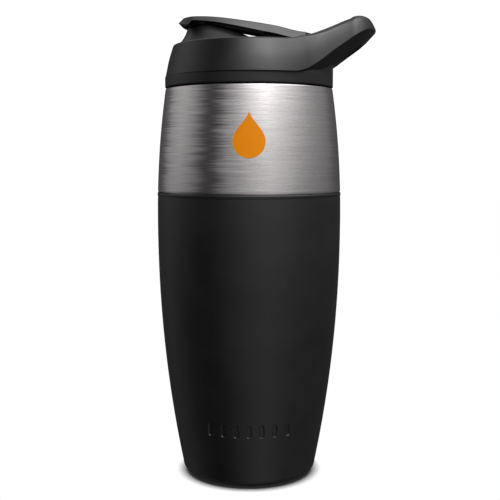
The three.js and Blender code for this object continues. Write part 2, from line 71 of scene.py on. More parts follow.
# Screw thread
THREAD_LEAD = 12.0
THREAD_STARTS = 2
THREAD_SPAN = math.radians(140)
THREAD_DEPTH = 1.0
THREAD_ROOT_WIDTH = 1.6
THREAD_CREST_WIDTH = 1.0
NECK_THREAD_START = 194.6

# Lid
LID_BOTTOM = 190.4
LID_RADIUS = 40.85
LID_BORE = 36.1
LID_CEILING = 203.2
DECK_UNDERSIDE = 205.8
DECK_TOP = 208.3
RECESS_RADIUS = 29.6
COLLAR_TOP = 195.45
GASKET_INNER = 33.2
GASKET_OUTER = 35.5
SPOUT_TOP = 220.0
CHANNEL_CENTRE = -22.4
CHANNEL_X = 5.2
CHANNEL_Y = 7.5

# Carry band
BAND_CENTRE = 1.3
BAND_RADIUS = 41.9
BAND_LEAVES_AT = math.radians(52)
LOOP_END = 61.4
LOOP_HALF_WIDTH = 26.0
LOOP_STRAIGHT = 47.0
RING_THICKNESS = 1.9
LOOP_THICKNESS = 5.0
RING_LEAN = 3.9
ARM_LEAN = 2.0
END_LEAN = 3.0
# The band's edges are (x, height) points, which value_at joins with a smooth curve.
BAND_LOWER_EDGE = [
    (20, 195.5), (26, 196.9), (32.6, 201), (39, 206), (45, 210.2), (50, 213.5), (55, 215.9),
    (LOOP_END, 216.8),
]
# The inner lower edge hangs below the outer one and runs straight up to the loop's end.
BAND_INNER_EDGE = [
    (20, 195.3), (26, 195.7), (32, 196.8), (38, 198.9), (44.2, 202.4), (47.6, 204.9), (51, 207.4),
    (54.5, 209.8), (58, 212.2),
]
BAND_UPPER_EDGE = [
    (18, 210.6), (29.6, 212.9), (38.8, 216.9), (44.8, 219.8), (50, 221.7), (54, 222.3), (58, 222.4),
    (LOOP_END, 222.2),
]

# Flip cap and hinge
PIVOT_X = 31.0
PIVOT_Z = 212.6
PIN_RADIUS = 1.2
PIN_BORE = 1.32
PIN_HALF_LENGTH = 11.2
BARREL_RADIUS = 2.9
BARREL_HALF_WIDTH = 7.5
EAR_RADIUS = 3.0
EAR_INNER = 7.9
EAR_OUTER = 11.5
CAP_HALF_WIDTH = 13.0
CAP_REAR_HALF_WIDTH = 11.0
CAP_REAR = 27.6
CAP_TIP = -34.0
CAP_SHOULDER = -26.5
CAP_UNDERSIDE = 220.5
CAP_CROWN = 0.8
CAP_EDGE = 0.55
CAP_LEAN = 1.3
CAP_RIM = 1.5
CAP_RECESS = 1.0
CAP_SHARP = 26
MOUTH_ROOM = 0.9
# (x, height) points of the cap's top along its middle and of its side's lower edge
CAP_TOP_LINE = [
    (CAP_TIP, 222.3), (-31.5, 223.3), (-26, 223.95), (-16, 223.75), (-1.6, 222.05), (12.4, 219.8),
    (CAP_REAR, 216.8),
]
CAP_SIDE_LINE = [
    (CAP_TIP, 221.2), (-32.4, 220.1), (-30.4, 219.5), (-28.6, 219.4), (-27.4, 220.9), (-22, 220.9),
    (-15, 220.25), (-5.5, 218.6), (6, 216.4), (12.5, 215.2),
    (21.6, 213.05), (CAP_REAR, 212.4),
]

# Mixing grid
GRID_RADIUS = 29.0
GRID_RIM = 1.7
GRID_BOTTOM = 197.5
GRID_PLATE = 1.8
GRID_BAR = 1.8
GRID_PITCH = 9.5
CLIP_TOP = 205.0
CLIP_WIDTH = 9.0

# Marks
EMBLEM_CENTRE = 167.0
EMBLEM_HALF_HEIGHT = 10.4
EMBLEM_BULB = 7.4
MARK_COUNT = 7
MARK_PITCH = 6.0
MARK_WIDTH = 2.4
MARK_HEIGHT = 6.6
MARK_CENTRE = 29.5
MARK_DEPTH = 0.55

# Camera
CAMERA_X = 0.47
CAMERA_DISTANCE = 450.0
CAMERA_HEIGHT = 157.59
CAMERA_PITCH = 5.905
CAMERA_LENS = 65.43

ROUND = 256


# ---- small helpers ----

def steps(low, high, count):
    return [low + (high - low) * i / count for i in range(count + 1)]


def mix(a, b, t):
    return a + (b - a) * t


def smooth(value, low, high):
    t = min(1.0, max(0.0, (value - low) / (high - low)))
    return t * t * (3 - 2 * t)


def value_at(points, x):
    """Smooth curve through (x, value) points, level outside them."""
    last = len(points) - 1
    if x <= points[0][0]:
        return points[0][1]
    if x >= points[last][0]:
        return points[last][1]
    i = next(k for k in range(last) if x < points[k + 1][0])

    def slope(k):
        if k in (0, last):
            return 0.0
        return (points[k + 1][1] - points[k - 1][1]) / (points[k + 1][0] - points[k - 1][0])

    (x0, y0), (x1, y1) = points[i], points[i + 1]
    width = x1 - x0
    t = (x - x0) / width
    blend = t * t * (3 - 2 * t)
    start = slope(i) * width * t * (1 - t) ** 2
    end = slope(i + 1) * width * t * t * (1 - t)
    return y0 + (y1 - y0) * blend + start - end


def fillet(points, count=4, closed=True):
    """Rounds the corners of an outline of (a, b, radius) points with short arcs."""
    rounded = []
    total = len(points)
    for i, point in enumerate(points):
        here = Vector(point[:2])
        radius = point[2] if len(point) > 2 else 0.0
        at_end = not closed and i in (0, total - 1)
        if radius <= 0 or at_end:
            rounded.append(tuple(here))
            continue
        before = Vector(points[i - 1][:2]) - here
        after = Vector(points[(i + 1) % total][:2]) - here
        reach = min(radius, 0.49 * before.length, 0.49 * after.length)
        first = here + before.normalized() * reach
        last = here + after.normalized() * reach
        for t in steps(0, 1, count):
            rounded.append(tuple(first * (1 - t) ** 2 + here * (2 * t * (1 - t)) + last * t * t))
    return rounded


def new_object(name, vertices, faces, sharp_angle=32):
    """Makes a mesh object with outward faces from millimetre points."""
    mesh = bpy.data.meshes.new(name)
    mesh.from_pydata([tuple(c * MM for c in v) for v in vertices], [], faces)
    bm = bmesh.new()
    bm.from_mesh(mesh)
    bmesh.ops.remove_doubles(bm, verts=bm.verts, dist=1e-7)
    bmesh.ops.dissolve_degenerate(bm, edges=bm.edges, dist=1e-8)
    bmesh.ops.recalc_face_normals(bm, faces=bm.faces)
    bm.to_mesh(mesh)
    bm.free()
    piece = bpy.data.objects.new(name, mesh)
    bpy.context.collection.objects.link(piece)
    shade(piece, sharp_angle)
    return piece


def shade(piece, sharp_angle=32):
    mesh = piece.data
    mesh.polygons.foreach_set("use_smooth", [True] * len(mesh.polygons))
    mesh.set_sharp_from_angle(angle=math.radians(sharp_angle))
    mesh.update()


def loft(name, sections, ring=False, sharp_angle=32):
    """Skins closed sections. A ring of sections has no ends; otherwise both ends are capped."""
    columns = len(sections[0])
    rows = len(sections)
    vertices = [point for section in sections for point in section]
    faces = []
    for i in range(rows if ring else rows - 1):
        low = i * columns
        high = ((i + 1) % rows) * columns
        for j in range(columns):
            k = (j + 1) % columns
            faces.append((low + j, low + k, high + k, high + j))
    if not ring:
        faces.append(tuple(reversed(range(columns))))
        faces.append(tuple(range((rows - 1) * columns, rows * columns)))
    return new_object(name, vertices, faces, sharp_angle)


def lathe(name, profile, angles=None, push=None, sharp_angle=32):
    """Revolves (radius, height) points about Z. push(angle, radius, height) moves a point outwards."""
    turns = angles or steps(0, 2 * math.pi, ROUND)[:-1]
    columns = len(turns)
    vertices = []
    starts = []
    for radius, height in profile:
        starts.append(len(vertices))
        if radius < 1e-6:
            vertices.append((0.0, 0.0, height))
            continue
        for turn in turns:
            moved = radius + (push(turn, radius, height) if push else 0.0)
            vertices.append((moved * math.cos(turn), moved * math.sin(turn), height))
    faces = []
    total = len(profile)
    open_ended = profile[0][0] < 1e-6
    for i in range(total - 1 if open_ended else total):
        n = (i + 1) % total
        low, high = starts[i], starts[n]
        low_point, high_point = profile[i][0] < 1e-6, profile[n][0] < 1e-6
        for j in range(columns):
            k = (j + 1) % columns
            if low_point and high_point:
                continue
            if low_point:
                faces.append((low, high + k, high + j))
            elif high_point:
                faces.append((low + j, low + k, high))
            else:
                faces.append((low + j, low + k, high + k, high + j))
    return new_object(name, vertices, faces, sharp_angle)


def prism(name, outline, half_width, bevel=0.0):
    """Extrudes an outline of (x, z) points along Y, centred on y = 0, with small bevels."""
    stations = [(-half_width, bevel), (half_width, bevel)]
    if bevel:
        stations[1:1] = [(-half_width + bevel, 0.0), (half_width - bevel, 0.0)]
    middle = Vector((sum(p[0] for p in outline), sum(p[1] for p in outline))) / len(outline)
    sections = []
    for y, shrink in stations:
        section = []
        for p in outline:
            away = Vector(p) - middle
            pulled = Vector(p) - away.normalized() * shrink
            section.append((pulled.x, y, pulled.y))
        sections.append(section)
    return loft(name, sections)


def around_pivot(radius, turn):
    return PIVOT_X + radius * math.cos(turn), PIVOT_Z + radius * math.sin(turn)


def pivot_bar(name, radius, half_width, bevel=0.0, sides=64):
    """A round bar along Y through the cap's pivot."""
    turns = steps(0, 2 * math.pi, sides)[:-1]
    return prism(name, [around_pivot(radius, turn) for turn in turns], half_width, bevel)


def combine(piece, other, operation, sharp_angle=32):
    """Joins or cuts piece with another closed mesh, which is then removed."""
    modifier = piece.modifiers.new("join", "BOOLEAN")
    modifier.operation = operation
    modifier.solver = "EXACT"
    modifier.object = other
    graph = bpy.context.evaluated_depsgraph_get()
    made = bpy.data.meshes.new_from_object(piece.evaluated_get(graph))
    piece.modifiers.clear()
    piece.data = made
    bpy.data.objects.remove(other)
    shade(piece, sharp_angle)
    return piece


# ---- bottle ----

def body_radius(height):
    if height < BELLY_HEIGHT:
        return BELLY_RADIUS - LOWER_TAPER * ((BELLY_HEIGHT - height) / BELLY_HEIGHT) ** LOWER_POWER
    up = (height - BELLY_HEIGHT) / (SHOULDER_HEIGHT - BELLY_HEIGHT)
    return BELLY_RADIUS - UPPER_TAPER * up ** UPPER_POWER


def corner(inner, low, outer, high, count):
    points = []
    for angle in steps(0, math.pi / 2, count):
        points.append((inner + (outer - inner) * math.sin(angle), high - (high - low) * math.cos(angle)))
    return points


def wall(radius_at, low, high, count):
    return [(radius_at(height), height) for height in steps(low, high, count)]


def thread_push(root, depth, start_height):
    """Gives the height of the helical ridges above a wall of the root radius."""
    def push(turn, radius, height):
        if abs(radius - root) > 1e-3:
            return 0.0
        best = 0.0
        for start in range(THREAD_STARTS):
            along = (turn - start * 2 * math.pi / THREAD_STARTS) % (2 * math.pi)
            if along > THREAD_SPAN:
                continue
            middle = start_height + THREAD_LEAD * along / (2 * math.pi)
            away = abs(height - middle)
            side = 1 - smooth(away, THREAD_CREST_WIDTH / 2, THREAD_ROOT_WIDTH / 2)
            ends = smooth(along, 0, 0.12) * smooth(THREAD_SPAN - along, 0, 0.12)
            best = max(best, side * ends)
        return depth * best
    return push


def mark_depth(across, height):
    """How far a row of upright capsules is pressed in at a point of the sleeve's front."""
    place = round(across / MARK_PITCH)
    if abs(place) > (MARK_COUNT - 1) / 2:
        return 0.0
    radius = MARK_WIDTH / 2
    reach = MARK_HEIGHT / 2 - radius
    beyond = max(0.0, abs(height - MARK_CENTRE) - reach)
    away = math.hypot(across - place * MARK_PITCH, beyond)
    return MARK_DEPTH * (1 - smooth(away, radius - 0.35, radius))


def make_sleeve():
    corner_radius = body_radius(BASE_CORNER_HEIGHT)

    def inside(height):
        return body_radius(height) - SLEEVE_THICKNESS

    lip = body_radius(SLEEVE_TOP)
    mark_low = MARK_CENTRE - MARK_HEIGHT / 2 - 0.6
    mark_high = MARK_CENTRE + MARK_HEIGHT / 2 + 0.6
    groove = 0.8
    foot = fillet([(12, 0, 0.3), (12.6, groove, 0.3), (19.4, groove, 0.3), (20, 0, 0.3)], 3, closed=False)
    outer = (
        [(0, 0)] + foot + corner(BASE_RADIUS, 0, corner_radius, BASE_CORNER_HEIGHT, 14)
        + wall(body_radius, BASE_CORNER_HEIGHT + 1.5, mark_low - 0.5, 12)
        + wall(body_radius, mark_low, mark_high, 48)
        + wall(body_radius, mark_high + 1, SLEEVE_TOP - 1.9, 60)
    )
    top_edge = fillet(
        [
            (body_radius(SLEEVE_TOP - 1.8), SLEEVE_TOP - 1.8, 0), (lip + SLEEVE_LIP, SLEEVE_TOP - 1.1, 0.5),
            (lip + SLEEVE_LIP, SLEEVE_TOP, 0.55), (inside(SLEEVE_TOP), SLEEVE_TOP, 0.3),
            (inside(SLEEVE_TOP - 1), SLEEVE_TOP - 1, 0),
        ], 6, closed=False)
    inner = (
        list(reversed(wall(inside, 7.4, SLEEVE_TOP - 2, 40)))
        + list(reversed(corner(BASE_RADIUS - 1.2, SLEEVE_FLOOR, inside(7.4), 7.4, 8)))[1:]
        + [(0, SLEEVE_FLOOR)]
    )
    front = -math.pi / 2
    marks_spread = math.radians(38)
    dense = steps(front - marks_spread, front + marks_spread, 230)
    sparse = steps(front + marks_spread, front - marks_spread + 2 * math.pi, 200)[1:-1]

    def press(turn, radius, height):
        if not mark_low < height < mark_high or radius < body_radius(height) - 0.01:
            return 0.0
        if math.sin(turn) > -0.5:
            return 0.0
        return -mark_depth(radius * math.cos(turn), height)

    profile = outer + top_edge + inner
    return lathe("silicone_sleeve", profile, angles=dense + sparse, push=press, sharp_angle=40)


def sunk_radius(height):
    return body_radius(height) - SLEEVE_THICKNESS - GAP


def make_steel_shell():
    low = SLEEVE_FLOOR + GAP
    step = SLEEVE_TOP + GAP
    foot_radius = BASE_RADIUS - 2
    foot_top = 8.4
    top = SHOULDER_HEIGHT
    t = SHELL_THICKNESS
    ledge = fillet(
        [
            (sunk_radius(step), step - 0.3, 0), (sunk_radius(step), step, 0.15),
            (body_radius(step) - 0.1, step, 0.3), (body_radius(step + 1), step + 1, 0),
        ], 4, closed=False)
    shoulder = fillet(
        [
            (body_radius(top - 1), top - 1, 0), (body_radius(top), top, 0.7),
            (NECK_RADIUS, top, 0.8), (NECK_RADIUS, top + 1.6, 0),
        ], 6, closed=False)
    outer = (
        corner(foot_radius, low, sunk_radius(foot_top), foot_top, 8)
        + wall(sunk_radius, 12, step - 0.4, 40)
        + ledge
        + wall(body_radius, step + 1.5, top - 1.2, 60)
        + shoulder
        + [(NECK_RADIUS, height) for height in steps(top + 2, NECK_TOP - 0.3, 42)]
        + [(NECK_RADIUS, NECK_TOP)]
    )
    neck_inside = NECK_RADIUS - 0.6
    inner = (
        [(neck_inside, NECK_TOP), (neck_inside, top + 0.6), (NECK_RADIUS + 0.4, top - t)]
        + [(body_radius(height) - t, height) for height in steps(top - 2, step + t, 20)]
        + [(sunk_radius(height) - t, height) for height in steps(step + t, foot_top + 0.2, 24)]
        + list(reversed(corner(foot_radius, low + t, sunk_radius(foot_top) - t, foot_top, 8)))[1:]
    )
    push = thread_push(NECK_RADIUS, THREAD_DEPTH, NECK_THREAD_START)
    return lathe("steel_shell", outer + inner, push=push)


def flask_radius(height):
    return body_radius(height) - SLEEVE_THICKNESS - GAP - SHELL_THICKNESS - VACUUM_GAP


def make_flask():
    t = SHELL_THICKNESS
    floor_radius = 20.0
    foot = 17.0
    head = 174.0
    neck = MOUTH_RADIUS + t
    wide, narrow = 36.2, 34.4
    shoulder = fillet(
        [
            (flask_radius(head) - 0.2, head + 1, 0), (wide, 180, 3), (narrow, 184.6, 3), (neck, 188.4, 2),
            (neck, 190, 0),
        ], 5, closed=False)
    outer = (
        [(0, FLASK_FLOOR)] + corner(floor_radius, FLASK_FLOOR, flask_radius(foot), foot, 10)
        + wall(flask_radius, 22, head, 36)
        + shoulder
        + [(neck, NECK_TOP + GAP)]
    )
    lip = fillet(
        [
            (neck, NECK_TOP + GAP, 0), (NECK_RADIUS, NECK_TOP + GAP, 0.2), (NECK_RADIUS, LIP_TOP, 0.3),
            (MOUTH_RADIUS, LIP_TOP, 0.45), (MOUTH_RADIUS, 199, 0),
        ], 5, closed=False)[1:]
    shoulder_inside = fillet(
        [
            (MOUTH_RADIUS, 196, 0), (MOUTH_RADIUS, 188.2, 2), (narrow - t, 184.3, 3), (wide - t, 179.7, 3),
            (flask_radius(head) - t - 0.1, head + 0.6, 0),
        ], 5, closed=False)
    inner = (
        shoulder_inside
        + list(reversed(wall(lambda height: flask_radius(height) - t, foot, head, 36)))
        + list(reversed(corner(floor_radius, FLASK_FLOOR + t, flask_radius(foot) - t, foot, 10)))[1:]
        + [(0, FLASK_FLOOR + t)]
    )
    return lathe("flask_liner", outer + lip + inner)


def make_emblem():
    """A plain water drop laid on the steel: a round bulb, then a side that curves in to the tip."""
    bulb = EMBLEM_CENTRE - EMBLEM_HALF_HEIGHT + EMBLEM_BULB
    tip = EMBLEM_CENTRE + EMBLEM_HALF_HEIGHT
    low = bulb - EMBLEM_BULB

    def half_width(height):
        if height <= bulb:
            return math.sqrt(max(0.0, EMBLEM_BULB ** 2 - (bulb - height) ** 2))
        t = solve_edge(height, bulb, tip)
        return cubic(t, EMBLEM_BULB, EMBLEM_BULB, 1.6, 0.0)

    rows = 96
    columns = 48
    proud, sunk = 0.12, 0.02
    vertices = []
    faces = []
    for lift in (proud, -sunk):
        for i in range(rows + 1):
            height = low + (tip - low) * (1 - math.cos(math.pi * i / rows)) / 2
            half = max(half_width(height), 0.01)
            for j in range(columns + 1):
                across = half * math.sin(math.pi * (j / columns - 0.5))
                radius = body_radius(height) + lift
                vertices.append((across, -math.sqrt(radius ** 2 - across ** 2), height))
    side = (rows + 1) * (columns + 1)
    for i in range(rows):
        for j in range(columns):
            a = i * (columns + 1) + j
            b = a + columns + 1
            faces.append((a, a + 1, b + 1, b))
            faces.append((side + a, side + b, side + b + 1, side + a + 1))
    edge = [(i, i + 1) for i in range(columns)]
    edge += [(rows * (columns + 1) + i, rows * (columns + 1) + i + 1) for i in range(columns)]
    edge += [(i * (columns + 1), (i + 1) * (columns + 1)) for i in range(rows)]
    edge += [(i * (columns + 1) + columns, (i + 1) * (columns + 1) + columns) for i in range(rows)]
    faces += [(a, b, side + b, side + a) for a, b in edge]
    return new_object("emblem_drop", vertices, faces, 50)


def cubic(t, a, b, c, d):
    return a * (1 - t) ** 3 + 3 * b * t * (1 - t) ** 2 + 3 * c * t * t * (1 - t) + d * t ** 3


def solve_edge(height, bulb, tip):
    """Finds where the drop's side curve passes a height, by halving."""
    low, high = 0.0, 1.0
    for _ in range(40):
        t = (low + high) / 2
        if cubic(t, bulb, bulb + 5.4, tip - 5, tip) < height:
            low = t
        else:
            high = t
    return (low + high) / 2


# ---- lid ----

def bezier(p0, p1, p2, p3, count):
    """Points along a cubic curve, without its last one."""
    points = []
    for t in steps(0, 1, count)[:-1]:
        points.append(tuple(cubic(t, *values) for values in zip(p0, p1, p2, p3)))
    return points


def band_plan():
    """The band's outer lower edge seen from above, from the loop's end round to it again."""
    leave = (BAND_CENTRE + BAND_RADIUS * math.cos(BAND_LEAVES_AT), BAND_RADIUS * math.sin(BAND_LEAVES_AT))
    before = (leave[0] + 7 * math.sin(BAND_LEAVES_AT), leave[1] - 7 * math.cos(BAND_LEAVES_AT))
    half = LOOP_HALF_WIDTH
    end = (LOOP_END, 0)
    straight = (LOOP_STRAIGHT, half)
    arm = bezier(end, (LOOP_END, 12), (LOOP_END - 4.6, half - 0.4), straight, 60)
    arm += bezier(straight, (LOOP_STRAIGHT - 7, half + 0.5), before, leave, 40)
    ring = []
    for angle in steps(BAND_LEAVES_AT, 2 * math.pi - BAND_LEAVES_AT, 200):
        ring.append((BAND_CENTRE + BAND_RADIUS * math.cos(angle), BAND_RADIUS * math.sin(angle)))
    mirrored = [(x, -y) for x, y in reversed(arm)]
    return arm + ring + mirrored[:-1]


def band_section(x, inward):
    arm = smooth(x, 22, 40)
    end = smooth(x, 50, LOOP_END)
    low = value_at(BAND_LOWER_EDGE, x)
    high = value_at(BAND_UPPER_EDGE, x)
    rise = high - low
    lean = mix(RING_LEAN, mix(ARM_LEAN, END_LEAN, end), arm)
    back = mix(RING_THICKNESS, LOOP_THICKNESS, arm)
    inner_low = min(low, value_at(BAND_INNER_EDGE, x + inward * back))
    small = mix(0.25, 0.9, arm)
    outline = [
        (0.0, low, mix(0.12, 1.0, end)), (0.44 * lean, low + 0.55 * rise, 3.0),
        (lean, high, 2.2), (back + lean, high, small), (back + 0.44 * lean, low + 0.5 * rise, 2.0),
        (back, inner_low, small),
    ]
    return fillet(outline, 7)


def make_band(name):
    plan = band_plan()
    count = len(plan)
    sections = []
    for i, (x, y) in enumerate(plan):
        ahead, behind = plan[(i + 1) % count], plan[i - 1]
        tangent = Vector((ahead[0] - behind[0], ahead[1] - behind[1])).normalized()
        section = []
        for inset, height in band_section(x, -tangent.y):
            section.append((x - tangent.y * inset, y + tangent.x * inset, height))
        sections.append(section)
    return loft(name, sections, ring=True, sharp_angle=50)


def oval(centre, half_x, half_y, height, corners=96):
    turns = steps(0, 2 * math.pi, corners)[:-1]
    return [(centre + half_x * math.cos(a), half_y * math.sin(a), height) for a in turns]


# The spout's front, rear and half width by height
SPOUT_FOOT = 207.2
SPOUT_LIP = 0.8
SPOUT_FRONT = [
    (SPOUT_FOOT, -34.6), (209.5, -34.3), (212, -33.3), (214.7, -31.5), (217, -30.4), (219, -29.75),
    (SPOUT_TOP, -29.4),
]
SPOUT_REAR = [
    (SPOUT_FOOT, 13), (209.5, 9), (212, 5.4), (214.7, 0.8), (217, -4.4), (219, -9.5), (SPOUT_TOP, -12.6),
]
SPOUT_HALF = [
    (SPOUT_FOOT, 23.5), (209.5, 20), (212, 17.4), (214.7, 15), (217, 12.8), (219, 10.8), (SPOUT_TOP, 9.9),
]


def spout_mouth():
    """Centre, half length and half width of the spout's top."""
    front, rear, half = (line[-1][1] for line in (SPOUT_FRONT, SPOUT_REAR, SPOUT_HALF))
    return (front + rear) / 2, (rear - front) / 2, half


def make_spout():
    lines = (SPOUT_FRONT, SPOUT_REAR, SPOUT_HALF)
    sections = []
    for height in steps(SPOUT_FOOT, SPOUT_TOP - SPOUT_LIP, 44):
        front, rear, half = (value_at(line, height) for line in lines)
        sections.append(oval((front + rear) / 2, (rear - front) / 2, half, height))
    centre, half_x, half_y = spout_mouth()
    for angle in steps(0, math.pi / 2, 6):
        inset = 0.9 * (1 - math.cos(angle))
        height = SPOUT_TOP - SPOUT_LIP + SPOUT_LIP * math.sin(angle)
        sections.append(oval(centre, half_x - inset, half_y - inset, height))
    return loft("spout", sections)


def make_channel():
    """The drink's way up through the spout, with a rounded mouth."""
    mouth = 0.7
    sections = []
    for height in steps(DECK_UNDERSIDE - 1, SPOUT_TOP - mouth, 12):
        sections.append(oval(CHANNEL_CENTRE, CHANNEL_X, CHANNEL_Y, height))
    for angle in steps(0, math.pi / 2, 5)[1:]:
        flare = mouth * (1 - math.cos(angle))
        height = SPOUT_TOP - mouth + mouth * math.sin(angle)
        sections.append(oval(CHANNEL_CENTRE, CHANNEL_X + flare, CHANNEL_Y + flare, height))
    sections.append(oval(CHANNEL_CENTRE, CHANNEL_X + mouth, CHANNEL_Y + mouth, SPOUT_TOP + 1))
    return loft("channel", sections)


# Radius of the lid's wall by height: behind the band, and at full width between the loop's arms.
WALL_BEHIND = [(COLLAR_TOP, 39.3), (203.8, 37.6), (207.6, 35.9), (DECK_TOP, 35.2)]
WALL_FULL = [(201.0, LID_RADIUS), (203.6, 40.3), (205.6, 39.0), (207.4, 37.0), (DECK_TOP, 35.2)]


def wall_push(turn, radius, height):
    """Moves the wall out to full width on the loop's side of the lid."""
    if height < LID_BOTTOM + 3 or radius < 35.3:
        return 0.0
    sideways = abs((turn + math.pi) % (2 * math.pi) - math.pi)
    share = 1 - smooth(sideways, math.radians(60), math.radians(70))
    full = value_at(WALL_FULL, height) - 0.002 * (LID_RADIUS - radius)
    return share * max(0.0, full - radius)


def ear_outline():
    top = [around_pivot(EAR_RADIUS, turn) for turn in steps(math.pi, 0, 24)]
    return [(PIVOT_X - EAR_RADIUS, DECK_UNDERSIDE)] + top + [(PIVOT_X + EAR_RADIUS, DECK_UNDERSIDE)]


def make_lid_body():
    below_deck = DECK_TOP - 0.6
    thread_end = 197.8
    deck_edge = fillet(
        [(34, DECK_TOP, 0), (35.3, DECK_TOP, 0.5), (value_at(WALL_BEHIND, below_deck), below_deck, 0)],
        4, closed=False)
    collar = fillet(
        [
            (LID_RADIUS - 0.6, COLLAR_TOP, 0), (LID_RADIUS, COLLAR_TOP, 0.25),
            (LID_RADIUS, LID_BOTTOM + 2, 1), (LID_RADIUS, LID_BOTTOM, 0.5),
            (LID_BORE, LID_BOTTOM, 0.5), (LID_BORE, LID_BOTTOM + 1, 0),
        ], 5, closed=False)
    wall_heights = steps(COLLAR_TOP, DECK_TOP - 0.5, 26)
    profile = (
        [(0, DECK_TOP), (12, DECK_TOP), (30, DECK_TOP)]
        + deck_edge
        + [(value_at(WALL_BEHIND, height), height) for height in reversed(wall_heights)]
        + collar
        + [(LID_BORE, height) for height in steps(LID_BOTTOM + 1.1, thread_end, 30)]
        + [(LID_BORE, LID_CEILING), (RECESS_RADIUS, LID_CEILING)]
        + [(RECESS_RADIUS, DECK_UNDERSIDE), (0, DECK_UNDERSIDE)]
    )
    half_pitch = THREAD_LEAD / THREAD_STARTS / 2
    inward = thread_push(LID_BORE, -THREAD_DEPTH, NECK_THREAD_START - half_pitch)

    def push(turn, radius, height):
        return inward(turn, radius, height) + wall_push(turn, radius, height)

    body = lathe("lid_body", profile, push=push)
    body = combine(body, make_spout(), "UNION")
    middle = (EAR_INNER + EAR_OUTER) / 2
    for y in (-middle, middle):
        ear = prism("ear", ear_outline(), (EAR_OUTER - EAR_INNER) / 2, 0.3)
        ear.data.transform(Matrix.Translation((0, y * MM, 0)))
        body = combine(body, ear, "UNION")
    body = combine(body, make_channel(), "DIFFERENCE")
    return combine(body, pivot_bar("bore", PIN_BORE, EAR_OUTER + 1), "DIFFERENCE")


def make_gasket():
    low = LIP_TOP + GAP
    high = LID_CEILING - GAP
    inner, outer = GASKET_INNER, GASKET_OUTER
    profile = fillet([(inner, low, 0.4), (outer, low, 0.4), (outer, high, 0.3), (inner, high, 0.3)], 5)
    return lathe("gasket_ring", profile)


# ---- flip cap ----

def cap_outline():
    """The cap seen from above, from its tip round by -Y to the rear and back by +Y."""
    tip = (CAP_TIP, 0)
    shoulder = (CAP_SHOULDER, -CAP_HALF_WIDTH)
    side = bezier(tip, (CAP_TIP, -6.5), (shoulder[0] - 4.6, shoulder[1] + 3.2), shoulder, 40)
    for t in steps(0, 1, 60):
        side.append((mix(CAP_SHOULDER, CAP_REAR - 1, t), mix(-CAP_HALF_WIDTH, -CAP_REAR_HALF_WIDTH, t)))
    for angle in steps(0, math.pi / 2, 6)[1:]:
        side.append((CAP_REAR - 1 + math.sin(angle), -CAP_REAR_HALF_WIDTH + 1 - math.cos(angle)))
    rear_half = CAP_REAR_HALF_WIDTH - 1
    rear = [(CAP_REAR, y) for y in steps(-rear_half, rear_half, 20)[1:-1]]
    mirrored = [(x, -y) for x, y in reversed(side)]
    return side + rear + mirrored[:-1]


def make_cap():
    """Rings run from the middle of the underside out over the rim and side to the middle of the top."""
    outline = cap_outline()
    count = len(outline)
    mouth_x, mouth_half_x, mouth_half_y = spout_mouth()

    def top_at(x, y):
        return value_at(CAP_TOP_LINE, x) - CAP_CROWN * (y / CAP_HALF_WIDTH) ** 2

    def to_middle(i):
        x, y = outline[i]
        return Vector((min(max(x, CAP_SHOULDER + 1), CAP_REAR - 4) - x, -y))

    def reach(i):
        return to_middle(i).length

    def ring(distance_of, height_of):
        points = []
        for i in range(count):
            inward = to_middle(i)
            moved = Vector(outline[i]) + inward * min(1.0, distance_of(i) / inward.length)
            points.append((moved.x, moved.y, height_of(i, moved.x, moved.y)))
        return points

    def bottom(i):
        return value_at(CAP_SIDE_LINE, outline[i][0])

    def hollow(x):
        """The underside is hollowed behind the beak."""
        return mix(0.15, CAP_RECESS, smooth(x, CAP_SHOULDER - 1, CAP_SHOULDER + 1.5))

    def under(x, y):
        """Height of the underside, which stays clear of the spout's mouth."""
        height = value_at(CAP_SIDE_LINE, x) + hollow(x)
        away = math.hypot((x - mouth_x) / (mouth_half_x + MOUTH_ROOM), y / (mouth_half_y + MOUTH_ROOM))
        return mix(max(height, CAP_UNDERSIDE + 0.3), height, smooth(away, 1.0, 1.15))

    rings = []
    for t in (1.0, 0.85, 0.7, 0.55, 0.4, 0.25, 0.08):
        rings.append(ring(lambda i: mix(CAP_RIM + 0.5, reach(i), t), lambda i, x, y: under(x, y)))
    for inset, share in ((0.3, 1.0), (0.0, 0.7), (-0.1, 0.25), (-0.35, 0.0)):
        rings.append(ring(lambda i: CAP_RIM + inset, lambda i, x, y: bottom(i) + share * hollow(x)))
    corner_radius = 0.3
    for angle in steps(0, math.pi / 2, 4):
        rings.append(ring(
            lambda i: corner_radius * (1 - math.sin(angle)),
            lambda i, x, y: bottom(i) + corner_radius * (1 - math.cos(angle))))
    for angle in steps(0.45, math.pi / 2, 8):
        rings.append(ring(
            lambda i: CAP_LEAN + CAP_EDGE * (1 - math.cos(angle)),
            lambda i, x, y: top_at(x, y) - CAP_EDGE * (1 - math.sin(angle))))
    for t in steps(0, 1, 10)[1:]:
        rings.append(ring(lambda i: mix(CAP_LEAN + CAP_EDGE, reach(i), t), lambda i, x, y: top_at(x, y)))
    vertices = [point for one in rings for point in one]
    faces = []
    for r in range(len(rings) - 1):
        for i in range(count):
            k = (i + 1) % count
            faces.append((r * count + i, r * count + k, (r + 1) * count + k, (r + 1) * count + i))
    cap = new_object("flip_lid", vertices, faces, CAP_SHARP)
    cap = combine(cap, make_knuckle(), "UNION", CAP_SHARP)
    cap = combine(cap, make_rib(), "UNION", CAP_SHARP)
    return combine(cap, pivot_bar("bore", PIN_BORE, EAR_OUTER), "DIFFERENCE", CAP_SHARP)


def make_knuckle():
    """The hinge barrel and the web that joins it to the cap's rear."""
    arc = [around_pivot(BARREL_RADIUS, turn) for turn in steps(1.35, -math.pi / 2, 28)]
    outline = [(CAP_REAR - 3, 216.6), (CAP_REAR, 216.4)] + arc + [(CAP_REAR - 3, 210.9)]
    return prism("knuckle", outline, BARREL_HALF_WIDTH, 0.25)


